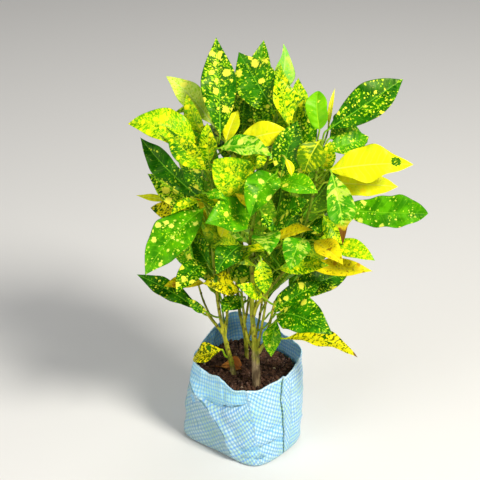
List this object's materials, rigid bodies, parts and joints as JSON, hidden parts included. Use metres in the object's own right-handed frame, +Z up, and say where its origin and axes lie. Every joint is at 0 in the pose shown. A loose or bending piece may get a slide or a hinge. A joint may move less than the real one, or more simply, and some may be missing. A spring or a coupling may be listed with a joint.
{
  "type": "potted croton",
  "caption": "Bushy gold-dust croton with speckled green and yellow leaves on upright stems, rooted in dark soil in a soft woven grow bag with an open, slumped rim.",
  "frame": {"origin": "middle of the grow bag's flat base, on the surface it stands on", "axes": "+Z up, -Y towards the front, where the bag's lowest corner and the largest drooping leaves are, +X to the right"},
  "size_m": [0.303, 0.2053, 0.458],
  "materials": {
    "woven_sheet": "woven plastic tape, blue and white check, slightly glossy, creased",
    "soil": "dark moist crumbs",
    "stem": "green bark above, grey-brown and woody at the foot",
    "leaf_gold_dust": "glossy deep green with fine lime dots and larger yellow blotches",
    "leaf_bright_green": "glossy mid green with scattered pale dots",
    "leaf_speckled": "glossy, densely speckled green and yellow",
    "leaf_marbled": "glossy green marbled with pale yellow along the veins",
    "leaf_yellow": "satin clear yellow",
    "leaf_old_gold": "satin dull gold with brown patches",
    "leaf_young": "satin plain lime green",
    "leaf_dry": "matt orange-brown, curled"
  },
  "bodies": {
    "root": {"grow_bag": "woven_sheet", "soil": "soil", "stem_left": "stem", "stem_back": "stem", "stem_right": "stem", "dry_leaf": "leaf_dry", "leaf_crown_tall": "leaf_gold_dust", "leaf_crown_rear": "leaf_gold_dust", "leaf_crown_front": "leaf_gold_dust", "leaf_crown_narrow": "leaf_bright_green", "leaf_crown_speckled": "leaf_speckled", "leaf_middle_ribbed": "leaf_gold_dust", "leaf_middle_dark": "leaf_gold_dust", "leaf_middle_yellow": "leaf_yellow", "leaf_middle_upright": "leaf_yellow", "leaf_middle_veined": "leaf_marbled", "leaf_left_far": "leaf_speckled", "leaf_left_flecked": "leaf_speckled", "leaf_left_upright": "leaf_bright_green", "leaf_left_rear": "leaf_speckled", "leaf_left_dark": "leaf_gold_dust", "leaf_left_yellowed": "leaf_speckled", "leaf_left_olive": "leaf_speckled", "leaf_front_large": "leaf_gold_dust", "leaf_front_bright": "leaf_bright_green", "leaf_front_speckled": "leaf_speckled", "leaf_front_folded": "leaf_bright_green", "leaf_front_pale_edge": "leaf_bright_green", "leaf_front_flecked": "leaf_gold_dust", "leaf_front_gold": "leaf_old_gold", "leaf_right_top": "leaf_gold_dust", "leaf_right_young": "leaf_young", "leaf_right_green": "leaf_bright_green", "leaf_right_streaked": "leaf_speckled", "leaf_right_yellow": "leaf_yellow", "leaf_right_yellow_low": "leaf_yellow", "leaf_right_broad": "leaf_bright_green", "leaf_right_hanging": "leaf_marbled", "leaf_right_pale": "leaf_speckled", "leaf_right_gold": "leaf_old_gold", "leaf_right_gold_low": "leaf_old_gold", "leaf_low_right_dark": "leaf_gold_dust", "leaf_low_right_front": "leaf_gold_dust", "leaf_low_right_gold": "leaf_old_gold", "leaf_low_hanging": "leaf_bright_green", "leaf_centre_facing": "leaf_marbled", "leaf_centre_marbled": "leaf_marbled", "leaf_centre_striped": "leaf_speckled", "leaf_centre_hanging": "leaf_yellow", "leaf_centre_dark": "leaf_gold_dust", "leaf_centre_speckled": "leaf_speckled", "leaf_left_gold_low": "leaf_old_gold", "leaf_left_dark_low": "leaf_gold_dust", "leaf_low_left_dark": "leaf_gold_dust", "leaf_rim_leaf": "leaf_speckled", "leaf_rear_high": "leaf_gold_dust", "leaf_rear_left": "leaf_gold_dust", "leaf_rear_right": "leaf_speckled", "leaf_rear_middle": "leaf_bright_green", "leaf_rear_low": "leaf_gold_dust"}
  },
  "joints": []
}
